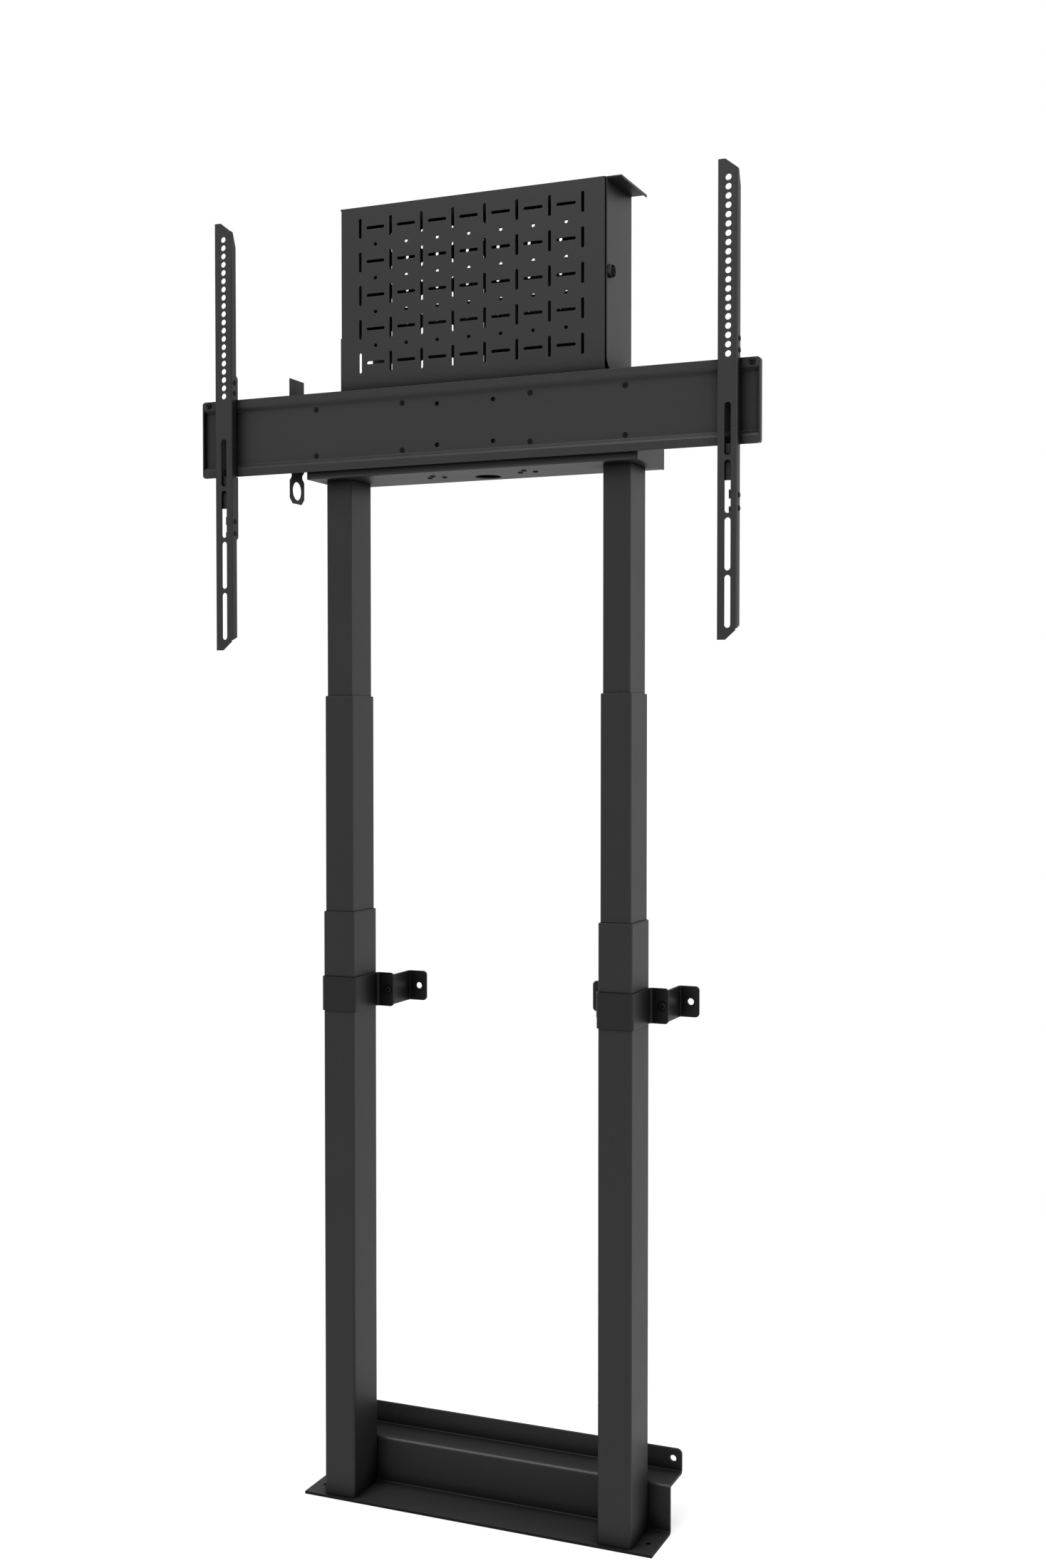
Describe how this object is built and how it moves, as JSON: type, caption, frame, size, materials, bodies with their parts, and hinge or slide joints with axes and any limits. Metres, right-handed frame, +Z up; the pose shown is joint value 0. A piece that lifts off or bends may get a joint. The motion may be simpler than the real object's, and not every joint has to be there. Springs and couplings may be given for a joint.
{
  "type": "motorised telescopic floor-to-wall screen mount",
  "caption": "Floor-standing motorised screen lift with telescopic columns, wall brackets, a crossbeam, a long bar with sliding perforated arms and a perforated media holder.",
  "frame": {"origin": "on the floor, midway between the two columns and midway between the wall and the front of the arms", "axes": "+X to the viewer's right, +Y back to the wall, +Z up"},
  "size_m": [0.889, 0.18, 1.963],
  "materials": {
    "black_powder_coat": "satin, fine texture",
    "black_plastic": "matte",
    "pale_nylon": "matte",
    "bare_steel": "bright turned",
    "motor_metal": "satin grey",
    "case_plastic": "matte, fine grain",
    "black_oxide": "black oxide",
    "knob_plastic": "satin"
  },
  "bodies": {
    "base": {"base_bracket": "black_powder_coat", "foot_screws": "black_oxide", "strap_screws": "black_oxide", "outer_tube_left": "black_powder_coat", "outer_tube_right": "black_powder_coat", "outer_glide_left": "black_plastic", "outer_glide_right": "black_plastic", "foot_plate_left": "bare_steel", "foot_plate_right": "bare_steel", "motor_left": "motor_metal", "motor_right": "motor_metal", "gearbox_left": "motor_metal", "gearbox_right": "motor_metal", "clamp_strap_left": "black_powder_coat", "clamp_strap_right": "black_powder_coat", "wall_bracket_left": "black_powder_coat", "wall_bracket_right": "black_powder_coat"},
    "head": {"crossbeam": "black_powder_coat", "beam_cover": "black_powder_coat", "beam_cap_left": "black_powder_coat", "beam_cap_right": "black_powder_coat", "control_unit": "case_plastic", "power_supply": "case_plastic", "case_screws": "black_oxide", "head_screws": "black_oxide", "screen_bar": "black_powder_coat", "bar_screws": "black_oxide", "end_stops": "black_oxide", "cable_ring": "black_powder_coat", "holder_front": "black_powder_coat", "holder_screws": "black_oxide", "tray_rail": "black_plastic", "rail_screws": "black_oxide", "inner_tube_left": "black_powder_coat", "inner_tube_right": "black_powder_coat", "upper_nut_left": "pale_nylon", "upper_nut_right": "pale_nylon", "head_plate_left": "bare_steel", "head_plate_right": "bare_steel"},
    "tray": {"media_tray": "black_powder_coat"},
    "knob": {"lock_knob": "knob_plastic"},
    "mid_left": {"mid_tube_left": "black_powder_coat", "mid_glide_left": "black_plastic", "lower_nut_left": "pale_nylon"},
    "lower_screw_left": {"lower_screw_left": "bare_steel"},
    "upper_screw_left": {"upper_screw_left": "bare_steel"},
    "arm_left": {"screen_arm_left": "black_powder_coat", "hook_bracket_left": "black_powder_coat", "arm_fasteners_left": "black_oxide"},
    "lock_left": {"lock_plate_left": "black_powder_coat"},
    "mid_right": {"mid_tube_right": "black_powder_coat", "mid_glide_right": "black_plastic", "lower_nut_right": "pale_nylon"},
    "lower_screw_right": {"lower_screw_right": "bare_steel"},
    "upper_screw_right": {"upper_screw_right": "bare_steel"},
    "arm_right": {"screen_arm_right": "black_powder_coat", "hook_bracket_right": "black_powder_coat", "arm_fasteners_right": "black_oxide"},
    "lock_right": {"lock_plate_right": "black_powder_coat"}
  },
  "joints": [
    {"name": "lift", "type": "slide", "parent": "base", "child": "head", "axis": [0, 0, 1], "range_m": [-0.65, 0]},
    {"name": "mid_lift_left", "type": "slide", "parent": "base", "child": "mid_left", "axis": [0, 0, 1], "range_m": [-0.325, 0]},
    {"name": "lower_turn_left", "type": "hinge", "parent": "base", "child": "lower_screw_left", "pos_m": [-0.2245, -0.008, 0.3], "axis": [0, 0, 1], "range_deg": [-11700, 0]},
    {"name": "upper_turn_left", "type": "hinge", "parent": "mid_left", "child": "upper_screw_left", "pos_m": [-0.2245, -0.008, 0.7], "axis": [0, 0, 1], "range_deg": [-11700, 0]},
    {"name": "mid_lift_right", "type": "slide", "parent": "base", "child": "mid_right", "axis": [0, 0, 1], "range_m": [-0.325, 0]},
    {"name": "lower_turn_right", "type": "hinge", "parent": "base", "child": "lower_screw_right", "pos_m": [0.2245, -0.008, 0.3], "axis": [0, 0, 1], "range_deg": [-11700, 0]},
    {"name": "upper_turn_right", "type": "hinge", "parent": "mid_right", "child": "upper_screw_right", "pos_m": [0.2245, -0.008, 0.7], "axis": [0, 0, 1], "range_deg": [-11700, 0]},
    {"name": "arm_slide_left", "type": "slide", "parent": "head", "child": "arm_left", "axis": [1, 0, 0], "range_m": [-0.03, 0.3]},
    {"name": "arm_slide_right", "type": "slide", "parent": "head", "child": "arm_right", "axis": [1, 0, 0], "range_m": [-0.3, 0.012]},
    {"name": "lock_slide_left", "type": "slide", "parent": "arm_left", "child": "lock_left", "axis": [0, 0, 1], "range_m": [-0.012, 0]},
    {"name": "lock_slide_right", "type": "slide", "parent": "arm_right", "child": "lock_right", "axis": [0, 0, 1], "range_m": [-0.012, 0]},
    {"name": "tray_slide", "type": "slide", "parent": "head", "child": "tray", "axis": [1, 0, 0], "range_m": [0, 0.25]},
    {"name": "knob_turn", "type": "hinge", "parent": "tray", "child": "knob", "pos_m": [0.219, -0.0443, 1.83172], "axis": [1, 0, 0], "range_deg": [-1080, 0]}
  ],
  "couplings": [
    {"joint": "mid_lift_left", "follows": "lift", "ratio": 0.5},
    {"joint": "lower_turn_left", "follows": "lift", "rad_per_m": 314.16},
    {"joint": "upper_turn_left", "follows": "lift", "rad_per_m": 314.16},
    {"joint": "mid_lift_right", "follows": "lift", "ratio": 0.5},
    {"joint": "lower_turn_right", "follows": "lift", "rad_per_m": 314.16},
    {"joint": "upper_turn_right", "follows": "lift", "rad_per_m": 314.16}
  ]
}
